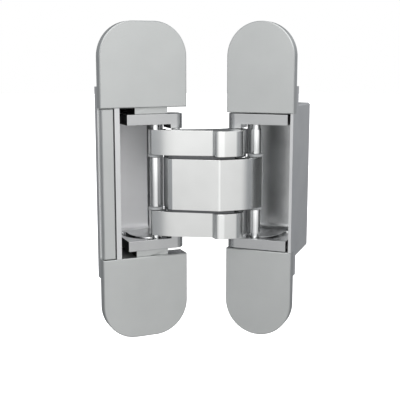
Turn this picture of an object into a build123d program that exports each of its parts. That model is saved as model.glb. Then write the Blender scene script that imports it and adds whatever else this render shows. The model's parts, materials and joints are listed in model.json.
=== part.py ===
from build123d import *

# A fully concealed mortise hinge for a flush door, adjustable three ways.
# Two zinc bodies, one let into the frame and one into the door leaf, are joined by
# a scissor of bent arms. Each arm turns on a fixed pin in one half and slides on a
# second pin in the other half, and the arms cross on a pin of their own.
#
# Part frame: the frame half's front face is the plane y = 0, its edge beside the
# gap is x = 0, and z = 0 is half way up. The door half stands open at REST_OPENING.
# Each half is modelled in its own plan: x runs from the gap edge outwards and y from
# the front face into the wood. The frame half is then mirrored into its place.

import os
from math import asin, atan2, cos, degrees, radians, sin

# ---- plates and covers ----
PLATE_HEIGHT = 111.0
FRAME_WIDTH = 31.2
DOOR_WIDTH = 24.0
CORNER_RADIUS = 12.0
COVER_DEPTH = 4.0
COVER_SKIN = 1.2
COVER_WALL = 1.1
EDGE_BEVEL = 0.3
COVER_GAP = 0.3
LUG_PLAY = 0.2
RIM_THICKNESS = 2.8
RIM_HALF_HEIGHT = 33.5
FIXING_SPACING = 87.0
FIXING_HOLE_RADIUS = 2.4
FIXING_HEAD_RADIUS = 4.4
FIXING_HEAD_DEPTH = 1.8

# ---- bodies let into the wood ----
BODY_DEPTH = 25.5
BODY_DRAFT = 1.0
BODY_BEVEL = 0.6
BACK_WALL = 1.5
GAP_WALL = 1.2
GAP_WALL_INSET = 4.5
GAP_WALL_FRONT = 9.6
FRAME_END_WALL = 1.2
DOOR_END_WALL = 3.0
DOOR_SIDE_WALL = 1.0
FRAME_SIDE_WALL = 1.7
FRAME_FLANGE = 6.7
TRIM_WIDTH = 4.2
TRIM_MARGIN = 0.4
TRIM_PLAY = 0.3
BOSS_WALL = 1.6

# ---- carriages that hold the pins ----
BAR_INNER = 20.3
BAR_THICKNESS = 3.7
FRAME_BAR_PLAY = 0.6
DOOR_BAR_PLAY = 1.0
NOSE_DEPTH = 7.6
NOSE_ROUND = 3.0
CARRIAGE_DEPTH = 22.8
CARRIAGE_BACK_WALL = 1.4
CARRIAGE_ROUND = 2.0
NOSE_LUG_REACH = 5.2
LUG_TO_ARM = 0.15

# ---- adjustment ----
HEIGHT_TRAVEL = 2.0
SIDE_INWARD = 0.8
SIDE_OUTWARD = 2.0
DEPTH_TRAVEL = 0.9
SLIDE_PLAY = 0.1

# ---- height blocks and their clamp screws ----
BLOCK_WIDTH = 11.9
BLOCK_FRONT = 1.45
BLOCK_REACH = 12.6
BLOCK_DEPTH = 21.0
TONGUE_PLACE = 18.4
TONGUE_WIDTH = 2.0
TONGUE_HEIGHT = 1.2
CLAMP_PLACE = 31.0
CLAMP_RADIUS = 1.5
CLAMP_HEAD_RADIUS = 2.6
CLAMP_HEAD_HEIGHT = 1.1
CLAMP_LENGTH = 7.6
CLAMP_BOSS_DEPTH = 2.6

# ---- depth screws and the ears that carry them ----
EAR_WIDTH = 9.0
EAR_REACH = 9.2
EAR_FRONT = 2.4
EAR_THICKNESS = 1.7
DEPTH_SCREW_PLACE = 29.3
DEPTH_SCREW_RADIUS = 1.75
DEPTH_SCREW_LENGTH = 9.0
DEPTH_HEAD_RADIUS = 3.2
DEPTH_HEAD_HEIGHT = 1.0
DEPTH_BOSS_DEPTH = 5.6
HEX_ACROSS = 2.5
HEX_SINK = 0.7

# ---- linkage ----
REST_OPENING = 136.0
FULL_OPENING = 180.0
CLOSED_GAP = 5.0
PIVOT_INSET = 2.2
PIVOT_DEPTH = 3.0
FIXED_REACH = 13.0
SLIDING_REACH = 18.31
ARM_BEND = 129.1
SCISSOR_RATIO = 0.6

# ---- pins, sleeves and washers ----
PIVOT_PIN_RADIUS = 1.5
CROSSING_PIN_RADIUS = 1.5
SLIDE_PIN_RADIUS = 1.4
PIN_SEAT = 2.4
SLOT_DEPTH = 2.2
SLOT_PLAY = 0.1
SLOT_ARCS = 3
RUNNING_FIT = 0.05
SLEEVE_RADIUS = 2.0
WASHER_RADIUS = 2.75
WASHER_PLAY = 0.1
LINER_REACH = 10.8
LINER_INSET = 0.7

# ---- arms ----
MIDDLE_HALF_HEIGHT = 8.85
PLY_INNER = 9.93
PLY_HEIGHT = 8.72
PIVOT_EYE_RADIUS = 2.6
SLIDE_EYE_RADIUS = 2.4
RELIEF_PLAY = 0.3

# ---- the arms' outlines: forward is out of the wood, back is into it ----
SHARP_ROUND = 0.35
TIP_ROUND = 1.2
SOFT_ROUND = 2.0
HEEL_START = 1.2
HEEL_ASIDE = 1.9
HEEL_BACK = 4.7
HEEL_ROUND = 0.7
CHEEK_FORWARD = 1.35
CHEEK_BEVEL_WIDTH = 1.45
CHEEK_BEVEL_RISE = 0.85
RIDGE_ASIDE = 4.6
RIDGE_FORWARD = 5.6
TOE_ASIDE = 17.25
TOE_FORWARD = 1.6
TOE_ROUND = 13.5
TOE_LEAN = 26.0
TAIL_BEVEL = 0.8
TAIL_BACK = 1.9
APRON_REACH = 3.0
APRON_FORWARD = 0.75
APRON_ROUND = 20.0
NECK_FORWARD = 3.05
KNUCKLE_START = 2.4
KNUCKLE_LEAN = 0.7
KNUCKLE_FLAT = 3.1
KNUCKLE_FORWARD = 5.85
KNUCKLE_EDGE_ROUND = 1.8
KNUCKLE_ROUND = 3.0
BROW_WIDTH = 2.4
BROW_FORWARD = 4.3
BROW_ROUND = 3.0
FACE_FORWARD = 2.0
WEB_BACK = 4.8
WEB_RISE = 1.0
WEB_DIP = 0.6
WEB_HOLLOW = 1.5
WEB_REACH = 5.0
WEB_MIDDLE = 1.0
EYE_LAP = 1.0

bar_outer = BAR_INNER + BAR_THICKNESS
ply_outer = PLY_INNER + PLY_HEIGHT
carriage_back = CARRIAGE_DEPTH - CARRIAGE_BACK_WALL
frame_opening = bar_outer + HEIGHT_TRAVEL + COVER_GAP
door_opening = bar_outer + COVER_GAP
rim_back = COVER_DEPTH + RIM_THICKNESS
frame_wall_inner = GAP_WALL_INSET + SIDE_INWARD
frame_wall_outer = frame_wall_inner + GAP_WALL
door_wall_outer = GAP_WALL_INSET + GAP_WALL
frame_cavity_end = FRAME_WIDTH - FRAME_FLANGE
door_cavity_end = DOOR_WIDTH - DOOR_SIDE_WALL
trim_start = FRAME_WIDTH - TRIM_MARGIN - TRIM_WIDTH
frame_bar_length = frame_cavity_end - SIDE_INWARD - SIDE_OUTWARD - FRAME_BAR_PLAY
door_bar_length = door_cavity_end - DOOR_BAR_PLAY
block_start = frame_wall_outer + 2 * SLIDE_PLAY
block_end = block_start + BLOCK_WIDTH
block_middle = (block_start + block_end) / 2
ear_middle = DOOR_WIDTH / 2
pin_half_length = BAR_INNER + PIN_SEAT - SLIDE_PLAY
slide_half_length = BAR_INNER + SLOT_DEPTH - SLIDE_PLAY

# The arms turn by this many degrees about the mirror plane for each degree of opening.
closing_turn = SCISSOR_RATIO / (2 * (2 - SCISSOR_RATIO))
closed_angle = 180 - degrees(asin((PIVOT_DEPTH + CLOSED_GAP / 2) / FIXED_REACH))
pivot_in_plan = Vector(PIVOT_INSET, PIVOT_DEPTH)


# ---- the linkage in one carriage's plan ----
def mirror_axes(opening):
    """The direction along the plane half way between the halves, and the one square to it."""
    half = radians(opening / 2)
    return Vector(cos(half), -sin(half)), Vector(sin(half), cos(half))


def crossing_point(opening):
    """Where the crossing pin stands at this opening."""
    along, across = mirror_axes(opening)
    turn = radians(closed_angle - closing_turn * opening)
    return pivot_in_plan - FIXED_REACH * (cos(turn) * along + sin(turn) * across)


def sliding_point(opening):
    """Where the sliding pin stands at this opening."""
    along, across = mirror_axes(opening)
    turn = radians(360 - ARM_BEND - closed_angle + closing_turn * opening)
    return crossing_point(opening) + SLIDING_REACH * (cos(turn) * along + sin(turn) * across)


def seen_from_crossing(point):
    """A point of the door half's plan at rest, from the crossing pin: x to the door, y inwards."""
    along, across = mirror_axes(REST_OPENING)
    offset = point - crossing_point(REST_OPENING)
    return Vector(offset.dot(across), -offset.dot(along))


def on_frame_side(point):
    """The mirror image of a point on the door side of the crossing pin."""
    return Vector(-point.X, point.Y)


pivot = seen_from_crossing(pivot_in_plan)
slide = seen_from_crossing(sliding_point(REST_OPENING))
cross_rest = crossing_point(REST_OPENING)
cross_place = Pos(-cross_rest.X - SIDE_INWARD, cross_rest.Y, 0)
arm_place = cross_place * Rot(0, 0, (REST_OPENING - FULL_OPENING) / 2)
door_place = cross_place * Rot(0, 0, REST_OPENING - FULL_OPENING) * Pos(-cross_rest.X, -cross_rest.Y, 0)


# ---- placing ----
def in_frame(shape):
    """Turns a half's plan into the frame half's place."""
    return mirror(shape, about=Plane.YZ)


def on_frame_carriage(shape):
    """Turns a carriage's plan into the frame carriage's place, with its room to move inwards."""
    return in_frame(Pos(SIDE_INWARD, 0, 0) * shape)


def in_door(shape):
    """Turns a half's plan into the door half's place at rest."""
    return door_place * shape


def with_arms(shape):
    """Places a shape drawn about the crossing pin."""
    return arm_place * shape


def other_end(shape):
    """The same shape at the lower end."""
    return mirror(shape, about=Plane.XY)


def both_ends(shape):
    """The shape at the upper and at the lower end."""
    return [shape, other_end(shape)]


# ---- simple forms ----
def block(x_low, x_high, y_low, y_high, z_low, z_high):
    """A block between six faces."""
    form = Box(x_high - x_low, y_high - y_low, z_high - z_low, align=(Align.MIN, Align.MIN, Align.MIN))
    return Pos(x_low, y_low, z_low) * form


def upright_rod(point, radius, z_low, z_high):
    """A round rod that stands at a point of the plan."""
    form = Cylinder(radius, z_high - z_low, align=(Align.CENTER, Align.CENTER, Align.MIN))
    return Pos(point.X, point.Y, z_low) * form


def inward_rod(x, z, radius, y_low, y_high, front_radius=None):
    """A round rod that runs into the wood, or a cone where its front radius differs."""
    align = (Align.CENTER, Align.CENTER, Align.MIN)
    length = y_high - y_low
    if front_radius is None:
        form = Cylinder(radius, length, align=align)
    else:
        form = Cone(front_radius, radius, length, align=align)
    return Pos(x, y_low, z) * Rot(-90, 0, 0) * form


def sketch_disc(point, radius):
    """A disc at a point of the plan."""
    return Pos(point.X, point.Y) * Circle(radius)


def ring(point, outer, inner, z_low, z_high):
    """A washer or a sleeve about a pin."""
    return upright_rod(point, outer, z_low, z_high) - upright_rod(point, inner, z_low, z_high)


def pin(point, radius, half_length):
    """A pin that reaches as far up as down."""
    return upright_rod(point, radius, -half_length, half_length)


def front_edges(shape, depth=0.0):
    """The edges of a shape that lie in the plane at this depth."""
    return shape.edges().filter_by_position(Axis.Y, depth - 0.001, depth + 0.001)


def socket_screw(x, z, radius, head_radius, head_height, length, front):
    """A screw that runs into the wood from its front, with a hexagon socket in its flat head."""
    head = inward_rod(x, z, head_radius, front, front + head_height)
    shank = inward_rod(x, z, radius, front + head_height, front + length)
    outline = Pos(x, z) * RegularPolygon(HEX_ACROSS / 2, 6, major_radius=False)
    socket = extrude(Plane.XZ.offset(-front) * outline, amount=-HEX_SINK)
    return head + shank - socket


# ---- plates and covers ----
def plate_slab(width, inset, y_low, y_high):
    """A slab of the plate's rounded outline, drawn in from its edge by the inset."""
    corner = min(CORNER_RADIUS, width / 2) - inset
    wide = width - 2 * inset
    high = PLATE_HEIGHT - 2 * inset
    if 2 * corner > wide - 0.01:
        outline = SlotOverall(high, wide, rotation=90)
    else:
        outline = RectangleRounded(wide, high, corner)
    return extrude(Plane.XZ.offset(-y_low) * Pos(width / 2, 0) * outline, amount=y_low - y_high)


def cover(width, opening):
    """The upper cover: a cap over the end of the plate, open behind and at its straight edge."""
    cap = plate_slab(width, 0, 0, COVER_DEPTH)
    cap = cap & block(0, width, 0, COVER_DEPTH, opening, PLATE_HEIGHT)
    cap = chamfer(front_edges(cap), EDGE_BEVEL)
    return cap - plate_slab(width, COVER_WALL, COVER_SKIN, COVER_DEPTH)


def lugs(width, opening):
    """The two plates under the covers that the fixing screws hold."""
    slab = plate_slab(width, COVER_WALL + LUG_PLAY, COVER_SKIN, COVER_DEPTH)
    return slab - block(0, width, 0, COVER_DEPTH, -opening, opening)


def fixing_holes(width):
    """The countersunk holes for the fixing screws, one in each lug."""
    height = FIXING_SPACING / 2
    sink_end = COVER_SKIN + FIXING_HEAD_DEPTH
    hole = inward_rod(width / 2, height, FIXING_HOLE_RADIUS, COVER_SKIN, COVER_DEPTH)
    sink = inward_rod(width / 2, height, FIXING_HOLE_RADIUS, COVER_SKIN, sink_end, FIXING_HEAD_RADIUS)
    return both_ends(hole + sink)


def rim(width):
    """The thick middle of a half, as wide as its plate, that beds on the wood."""
    slab = plate_slab(width, 0, COVER_DEPTH, rim_back)
    return slab & block(0, width, COVER_DEPTH, rim_back, -RIM_HALF_HEIGHT, RIM_HALF_HEIGHT)


def drafted_body(x_low, x_high, half_height):
    """The outside of the part let into the wood, narrowing a little towards its back."""
    outline = Pos((x_low + x_high) / 2, 0) * Rectangle(x_high - x_low, 2 * half_height)
    depth = BODY_DEPTH - COVER_DEPTH
    body = extrude(Plane.XZ.offset(-COVER_DEPTH) * outline, amount=-depth, taper=BODY_DRAFT)
    outer_edges = [edge for edge in body.edges() if (edge @ 0.5).Y > COVER_DEPTH + 1]
    return chamfer(outer_edges, BODY_BEVEL)


def hollowed(casting, wall_outer, cavity_end, opening):
    """Cuts a half's pocket and the mouth at its gap side, where the arms come out."""
    pocket = block(wall_outer, cavity_end, 0, BODY_DEPTH - BACK_WALL, -opening, opening)
    mouth = block(0, wall_outer, 0, GAP_WALL_FRONT, -opening, opening)
    return casting - pocket - mouth


# ---- the frame half's fixed pieces ----
def frame_housing():
    """The casting let into the frame, with room for the carriage's height and side travel."""
    foot_end = frame_opening + HEIGHT_TRAVEL + SLIDE_PLAY
    casting = drafted_body(frame_wall_inner, frame_cavity_end + FRAME_SIDE_WALL, foot_end + FRAME_END_WALL)
    casting = casting + rim(FRAME_WIDTH) + lugs(FRAME_WIDTH, frame_opening)
    casting += block(frame_cavity_end, trim_start - TRIM_PLAY, 0, COVER_DEPTH, -frame_opening, frame_opening)
    casting = hollowed(casting, frame_wall_outer, frame_cavity_end, frame_opening)
    low = block_start - SLIDE_PLAY
    high = block_end + SLIDE_PLAY
    foot_room = block(low, high, 0, BLOCK_DEPTH + 2 * SLIDE_PLAY, bar_outer, foot_end)
    riser_end = bar_outer + BLOCK_REACH + HEIGHT_TRAVEL + SLIDE_PLAY
    riser_room = block(low, high, 0, COVER_DEPTH, bar_outer, riser_end)
    boss_end = rim_back + CLAMP_BOSS_DEPTH
    boss = inward_rod(block_middle, CLAMP_PLACE, CLAMP_RADIUS + BOSS_WALL, COVER_DEPTH, boss_end)
    thread = inward_rod(block_middle, CLAMP_PLACE, CLAMP_RADIUS, COVER_DEPTH, boss_end)
    casting = casting + both_ends(boss) - both_ends(foot_room) - both_ends(riser_room)
    return casting - both_ends(thread) - fixing_holes(FRAME_WIDTH)


def trim_strip():
    """The strip between the two frame covers, over the housing's outer flange."""
    half = frame_opening - TRIM_PLAY
    strip = block(trim_start, trim_start + TRIM_WIDTH, 0, COVER_DEPTH, -half, half)
    return chamfer(front_edges(strip), EDGE_BEVEL)


def clamp_screw():
    """The screw that clamps the upper height block to the frame housing."""
    sizes = (CLAMP_RADIUS, CLAMP_HEAD_RADIUS, CLAMP_HEAD_HEIGHT, CLAMP_LENGTH)
    return socket_screw(block_middle, CLAMP_PLACE, *sizes, BLOCK_FRONT)


# ---- height blocks ----
def height_slot(radius, y_low, y_high):
    """An upright slot about the clamp screw, as long as the height travel asks for."""
    top = CLAMP_PLACE + HEIGHT_TRAVEL
    bottom = CLAMP_PLACE - HEIGHT_TRAVEL
    slot = block(block_middle - radius, block_middle + radius, y_low, y_high, bottom, top)
    for height in (bottom, top):
        slot += inward_rod(block_middle, height, radius, y_low, y_high)
    return slot


def height_block():
    """The upper height block: a foot on the carriage's bar and a riser under the cover."""
    seat = bar_outer + RUNNING_FIT
    riser_back = COVER_DEPTH - RUNNING_FIT
    tongue_end = TONGUE_PLACE + TONGUE_WIDTH
    head_floor = BLOCK_FRONT + CLAMP_HEAD_HEIGHT
    form = block(block_start, block_end, BLOCK_FRONT, BLOCK_DEPTH, seat, frame_opening - SLIDE_PLAY)
    form += block(block_start, block_end, BLOCK_FRONT, riser_back, seat, bar_outer + BLOCK_REACH)
    form += block(block_start, block_end, TONGUE_PLACE, tongue_end, bar_outer - TONGUE_HEIGHT, seat)
    form -= height_slot(CLAMP_HEAD_RADIUS + SLIDE_PLAY, BLOCK_FRONT, head_floor)
    return form - height_slot(CLAMP_RADIUS + SLIDE_PLAY, head_floor, riser_back)


# ---- carriages ----
def bar_outline(length, tub_start):
    """A bar in plan: a rounded nose beside the gap and the longer part behind it."""
    back = CARRIAGE_DEPTH
    corners = [(0, 0), (length, 0), (length, back), (tub_start, back), (tub_start, NOSE_DEPTH), (0, NOSE_DEPTH)]
    rounds = [NOSE_ROUND, 0, 0, 0, 0, NOSE_ROUND]
    return make_face(FilletPolyline(*corners, radius=rounds, close=True))


def sliding_slot():
    """The slot in plan that the sliding pin follows, in arcs from closed to fully open."""
    radius = SLIDE_PIN_RADIUS + SLOT_PLAY
    step = FULL_OPENING / SLOT_ARCS
    slot = sketch_disc(sliding_point(0), radius)
    for index in range(SLOT_ARCS):
        start = index * step
        stops = [sliding_point(start + share * step) for share in (0, 0.5, 1)]
        slot += trace(ThreePointArc(*stops), line_width=2 * radius)
        slot += sketch_disc(stops[-1], radius)
    return slot


def carriage(length, tub_start):
    """The casting that carries the pins: an upper and a lower bar joined by a back wall."""
    tub = block(tub_start, length, 0, CARRIAGE_DEPTH, -bar_outer, bar_outer)
    room = block(tub_start - 1, length + 1, 0, carriage_back, -BAR_INNER, BAR_INNER)
    room = fillet(front_edges(room, carriage_back).filter_by(Axis.X), CARRIAGE_ROUND)
    bar = extrude(Plane.XY.offset(BAR_INNER) * bar_outline(length, tub_start), amount=BAR_THICKNESS)
    lug_side = Pos(NOSE_LUG_REACH / 2, NOSE_DEPTH / 2) * Rectangle(NOSE_LUG_REACH, NOSE_DEPTH)
    lug_low = ply_outer + LUG_TO_ARM
    lug_outline = bar_outline(length, tub_start) & lug_side
    lug = extrude(Plane.XY.offset(lug_low) * lug_outline, amount=BAR_INNER - lug_low)
    seat = upright_rod(pivot_in_plan, PIVOT_PIN_RADIUS, ply_outer, BAR_INNER + PIN_SEAT)
    slot = extrude(Plane.XY.offset(BAR_INNER) * sliding_slot(), amount=SLOT_DEPTH)
    casting = tub - room + both_ends(bar) + both_ends(lug)
    return casting - both_ends(seat) - both_ends(slot)


def frame_carriage():
    """The frame half's carriage, grooved at both ends for the height blocks' tongues."""
    casting = carriage(frame_bar_length, frame_wall_outer + SLIDE_PLAY)
    floor = bar_outer - TONGUE_HEIGHT - SLIDE_PLAY
    side_low = TONGUE_PLACE - RUNNING_FIT
    side_high = TONGUE_PLACE + TONGUE_WIDTH + RUNNING_FIT
    groove = block(0, frame_bar_length, side_low, side_high, floor, bar_outer)
    return casting - both_ends(groove)


def door_carriage():
    """The door half's carriage, with an ear at each end for its depth screw."""
    casting = carriage(door_bar_length, door_wall_outer + SLIDE_PLAY)
    low = ear_middle - EAR_WIDTH / 2
    high = ear_middle + EAR_WIDTH / 2
    ear_back = EAR_FRONT + EAR_THICKNESS
    head_back = EAR_FRONT + DEPTH_HEAD_HEIGHT + RUNNING_FIT
    ear = block(low, high, EAR_FRONT, ear_back, bar_outer, bar_outer + EAR_REACH)
    head_room = DEPTH_HEAD_RADIUS + RUNNING_FIT
    hole = inward_rod(ear_middle, DEPTH_SCREW_PLACE, DEPTH_SCREW_RADIUS + RUNNING_FIT, EAR_FRONT, ear_back)
    sink = inward_rod(ear_middle, DEPTH_SCREW_PLACE, head_room, EAR_FRONT, head_back)
    return casting + both_ends(ear) - both_ends(hole) - both_ends(sink)


# ---- the door half's fixed pieces ----
def door_housing():
    """The casting let into the door leaf, with channels for the carriage's ears."""
    casting = drafted_body(GAP_WALL_INSET, DOOR_WIDTH, door_opening + DOOR_END_WALL)
    casting = casting + rim(DOOR_WIDTH) + lugs(DOOR_WIDTH, door_opening)
    casting += block(door_cavity_end, DOOR_WIDTH, 0, COVER_DEPTH, -door_opening, door_opening)
    casting = hollowed(casting, door_wall_outer, door_cavity_end, door_opening)
    low = ear_middle - EAR_WIDTH / 2 - SLIDE_PLAY
    high = ear_middle + EAR_WIDTH / 2 + SLIDE_PLAY
    floor = EAR_FRONT + EAR_THICKNESS + DEPTH_TRAVEL + SLIDE_PLAY
    channel = block(low, high, 0, floor, bar_outer, bar_outer + EAR_REACH + SLIDE_PLAY)
    boss_end = rim_back + DEPTH_BOSS_DEPTH
    boss = inward_rod(ear_middle, DEPTH_SCREW_PLACE, DEPTH_SCREW_RADIUS + BOSS_WALL, floor, boss_end)
    thread = inward_rod(ear_middle, DEPTH_SCREW_PLACE, DEPTH_SCREW_RADIUS + RUNNING_FIT, floor, boss_end)
    casting = casting - both_ends(channel) + both_ends(boss)
    return casting - both_ends(thread) - fixing_holes(DOOR_WIDTH)


def depth_screw():
    """The upper depth screw: its head turns in the carriage's ear, its thread in the housing."""
    sizes = (DEPTH_SCREW_RADIUS, DEPTH_HEAD_RADIUS, DEPTH_HEAD_HEIGHT, DEPTH_SCREW_LENGTH)
    return socket_screw(ear_middle, DEPTH_SCREW_PLACE, *sizes, EAR_FRONT)


# ---- arms, drawn about the crossing pin ----
def pin_relief():
    """The part of a ring that the door half's pivot pin sweeps past the middle arm."""
    radius = PIVOT_PIN_RADIUS + RELIEF_PLAY
    rest = degrees(atan2(pivot.Y, pivot.X))
    open_end = rest - 2 * closing_turn * (FULL_OPENING - REST_OPENING)
    closed_end = rest + 2 * closing_turn * REST_OPENING
    sweep = trace(CenterArc((0, 0), FIXED_REACH, open_end, closed_end - open_end), line_width=2 * radius)
    for angle in (open_end, closed_end):
        sweep += Rot(0, 0, angle) * sketch_disc(Vector(FIXED_REACH, 0), radius)
    return sweep


def outlined(corners, relief):
    """An arm's body in plan from corners of place and round, cut back where the other pivot passes."""
    points = [(x, y) for x, y, corner in corners]
    rounds = [corner for x, y, corner in corners]
    return make_face(FilletPolyline(*points, radius=rounds, close=True)) - relief


def bored_arm(face, eyes, crossing_bore, z_low, z_high):
    """An arm between two heights, with an eye about each of its pins."""
    for centre, radius, bore in eyes:
        face += sketch_disc(centre, radius)
    for centre, radius, bore in eyes:
        face -= sketch_disc(centre, bore)
    face -= Circle(crossing_bore)
    return extrude(Plane.XY.offset(z_low) * face, amount=z_high - z_low)


def middle_outline():
    """The wide arm's body in plan."""
    left = -pivot.X - PIVOT_EYE_RADIUS
    toe = slide + Vector(SLIDE_EYE_RADIUS, 0).rotate(Axis.Z, -TOE_LEAN)
    corners = [
        (left, pivot.Y, 0),
        (left - HEEL_ASIDE, HEEL_BACK, HEEL_ROUND),
        (left, HEEL_START, SHARP_ROUND),
        (left, -CHEEK_FORWARD, SHARP_ROUND),
        (left + CHEEK_BEVEL_WIDTH, -CHEEK_FORWARD - CHEEK_BEVEL_RISE, SHARP_ROUND),
        (RIDGE_ASIDE, -RIDGE_FORWARD, SOFT_ROUND),
        (TOE_ASIDE, -TOE_FORWARD, TOE_ROUND),
        (toe.X, toe.Y, 0),
        (slide.X - EYE_LAP, slide.Y + WEB_HOLLOW, 0),
        (pivot.X, WEB_BACK - WEB_HOLLOW, 0),
        (WEB_MIDDLE, WEB_BACK, SOFT_ROUND),
        (WEB_REACH - pivot.X, WEB_BACK + WEB_RISE, SOFT_ROUND),
        (-pivot.X, pivot.Y + EYE_LAP, 0),
    ]
    return outlined(corners, pin_relief())


def middle_arm():
    """The wide arm: it turns on the frame half's pivot and slides in the door half."""
    eyes = [
        (on_frame_side(pivot), PIVOT_EYE_RADIUS, PIVOT_PIN_RADIUS + RUNNING_FIT),
        (slide, SLIDE_EYE_RADIUS, SLIDE_PIN_RADIUS),
    ]
    face = middle_outline()
    return bored_arm(face, eyes, CROSSING_PIN_RADIUS + RUNNING_FIT, -MIDDLE_HALF_HEIGHT, MIDDLE_HALF_HEIGHT)


def arm_liner():
    """The upper wearing plate between the wide arm and a narrow one, about their crossing pin."""
    face = offset(middle_outline() & Circle(LINER_REACH), -LINER_INSET) - Circle(CROSSING_PIN_RADIUS + RUNNING_FIT)
    low = MIDDLE_HALF_HEIGHT + WASHER_PLAY
    high = PLY_INNER - WASHER_PLAY
    return extrude(Plane.XY.offset(low) * face, amount=high - low)


def outer_arm():
    """The upper of the two narrow arms: they slide in the frame half and turn in the door half."""
    left = -slide.X - SLIDE_EYE_RADIUS
    right = pivot.X + PIVOT_EYE_RADIUS
    neck = KNUCKLE_START + KNUCKLE_LEAN
    corners = [
        (left, slide.Y, 0),
        (left + TAIL_BEVEL, TAIL_BACK, TIP_ROUND),
        (-pivot.X - APRON_REACH, -APRON_FORWARD, APRON_ROUND),
        (KNUCKLE_START, -NECK_FORWARD, SHARP_ROUND),
        (neck, -KNUCKLE_FORWARD, KNUCKLE_EDGE_ROUND),
        (neck + KNUCKLE_FLAT, -KNUCKLE_FORWARD, KNUCKLE_ROUND),
        (right - BROW_WIDTH, -BROW_FORWARD, BROW_ROUND),
        (right, -FACE_FORWARD, BROW_ROUND),
        (right, HEEL_START, SHARP_ROUND),
        (right + HEEL_ASIDE, HEEL_BACK, HEEL_ROUND),
        (right, pivot.Y, 0),
        (pivot.X, pivot.Y + EYE_LAP, 0),
        (pivot.X - WEB_REACH, WEB_BACK + WEB_RISE, SOFT_ROUND),
        (-WEB_MIDDLE, WEB_BACK - WEB_DIP, SOFT_ROUND),
        (-pivot.X, WEB_BACK - WEB_HOLLOW, 0),
        (EYE_LAP - slide.X, slide.Y + WEB_HOLLOW, 0),
    ]
    eyes = [
        (on_frame_side(slide), SLIDE_EYE_RADIUS, SLIDE_PIN_RADIUS),
        (pivot, PIVOT_EYE_RADIUS, PIVOT_PIN_RADIUS + RUNNING_FIT),
    ]
    face = outlined(corners, mirror(pin_relief(), about=Plane.YZ))
    return bored_arm(face, eyes, CROSSING_PIN_RADIUS, PLY_INNER, ply_outer)


# ---- writing the pieces ----
def write(name, shape):
    """Writes one piece to its own file."""
    export_step(shape, f"parts/{name}.step")


def write_pair(name, shape, place):
    """Writes the upper piece and its mirror image at the lower end."""
    write(f"{name}_upper", place(shape))
    write(f"{name}_lower", place(other_end(shape)))


def write_frame_half():
    """Writes the pieces let into the frame and those that adjust in it."""
    write("frame_housing", in_frame(frame_housing()))
    write("frame_trim_strip", in_frame(trim_strip()))
    write_pair("frame_cover", cover(FRAME_WIDTH, frame_opening), in_frame)
    write_pair("clamp_screw", clamp_screw(), in_frame)
    write_pair("height_block", height_block(), in_frame)
    write("frame_carriage", on_frame_carriage(frame_carriage()))
    write("frame_pivot_pin", on_frame_carriage(pin(pivot_in_plan, PIVOT_PIN_RADIUS, pin_half_length)))


def write_scissor():
    """Writes the arms with the pins, sleeves and washers that go with them."""
    bore = SLIDE_PIN_RADIUS + RUNNING_FIT
    far_slide = on_frame_side(slide)
    washer_low = MIDDLE_HALF_HEIGHT + WASHER_PLAY
    washer_high = PLY_INNER - WASHER_PLAY
    frame_sleeve = ring(far_slide, SLEEVE_RADIUS, bore, -MIDDLE_HALF_HEIGHT, MIDDLE_HALF_HEIGHT)
    write("middle_arm", with_arms(middle_arm()))
    write("door_slide_pin", with_arms(pin(slide, SLIDE_PIN_RADIUS, slide_half_length)))
    write("crossing_pin", with_arms(pin(Vector(0, 0), CROSSING_PIN_RADIUS, ply_outer)))
    write("frame_slide_pin", with_arms(pin(far_slide, SLIDE_PIN_RADIUS, slide_half_length)))
    write("frame_sleeve", with_arms(frame_sleeve))
    write_pair("arm_liner", arm_liner(), with_arms)
    write_pair("outer_arm", outer_arm(), with_arms)
    write_pair("door_sleeve", ring(slide, SLEEVE_RADIUS, bore, PLY_INNER, ply_outer), with_arms)
    write_pair("door_washer", ring(slide, WASHER_RADIUS, bore, washer_low, washer_high), with_arms)
    write_pair("frame_washer", ring(far_slide, WASHER_RADIUS, bore, washer_low, washer_high), with_arms)


def write_door_half():
    """Writes the pieces let into the door leaf and those that adjust in it."""
    write("door_carriage", in_door(door_carriage()))
    write("door_pivot_pin", in_door(pin(pivot_in_plan, PIVOT_PIN_RADIUS, pin_half_length)))
    write("door_housing", in_door(door_housing()))
    write_pair("door_cover", cover(DOOR_WIDTH, door_opening), in_door)
    write_pair("depth_screw", depth_screw(), in_door)


os.makedirs("parts", exist_ok=True)
write_frame_half()
write_scissor()
write_door_half()
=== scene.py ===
"""A concealed door hinge, standing open: its turned pieces and the finishes of its metals.

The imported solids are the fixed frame. The covers, the trim strip and the door's housing keep
their solids and get real finishes. The arms and the other castings are copies of their solids
with eased edges. The turned pieces, which are pins, sleeves, washers and screws, are worked
out again as finer surfaces of revolution, and the thin plates between the arms as flat ones.
Named sizes are in millimetres unless their description says metres, and the meshes are in metres.
"""

import json
import logging
import math
from collections.abc import Callable
from dataclasses import dataclass, field
from enum import Enum

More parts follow.
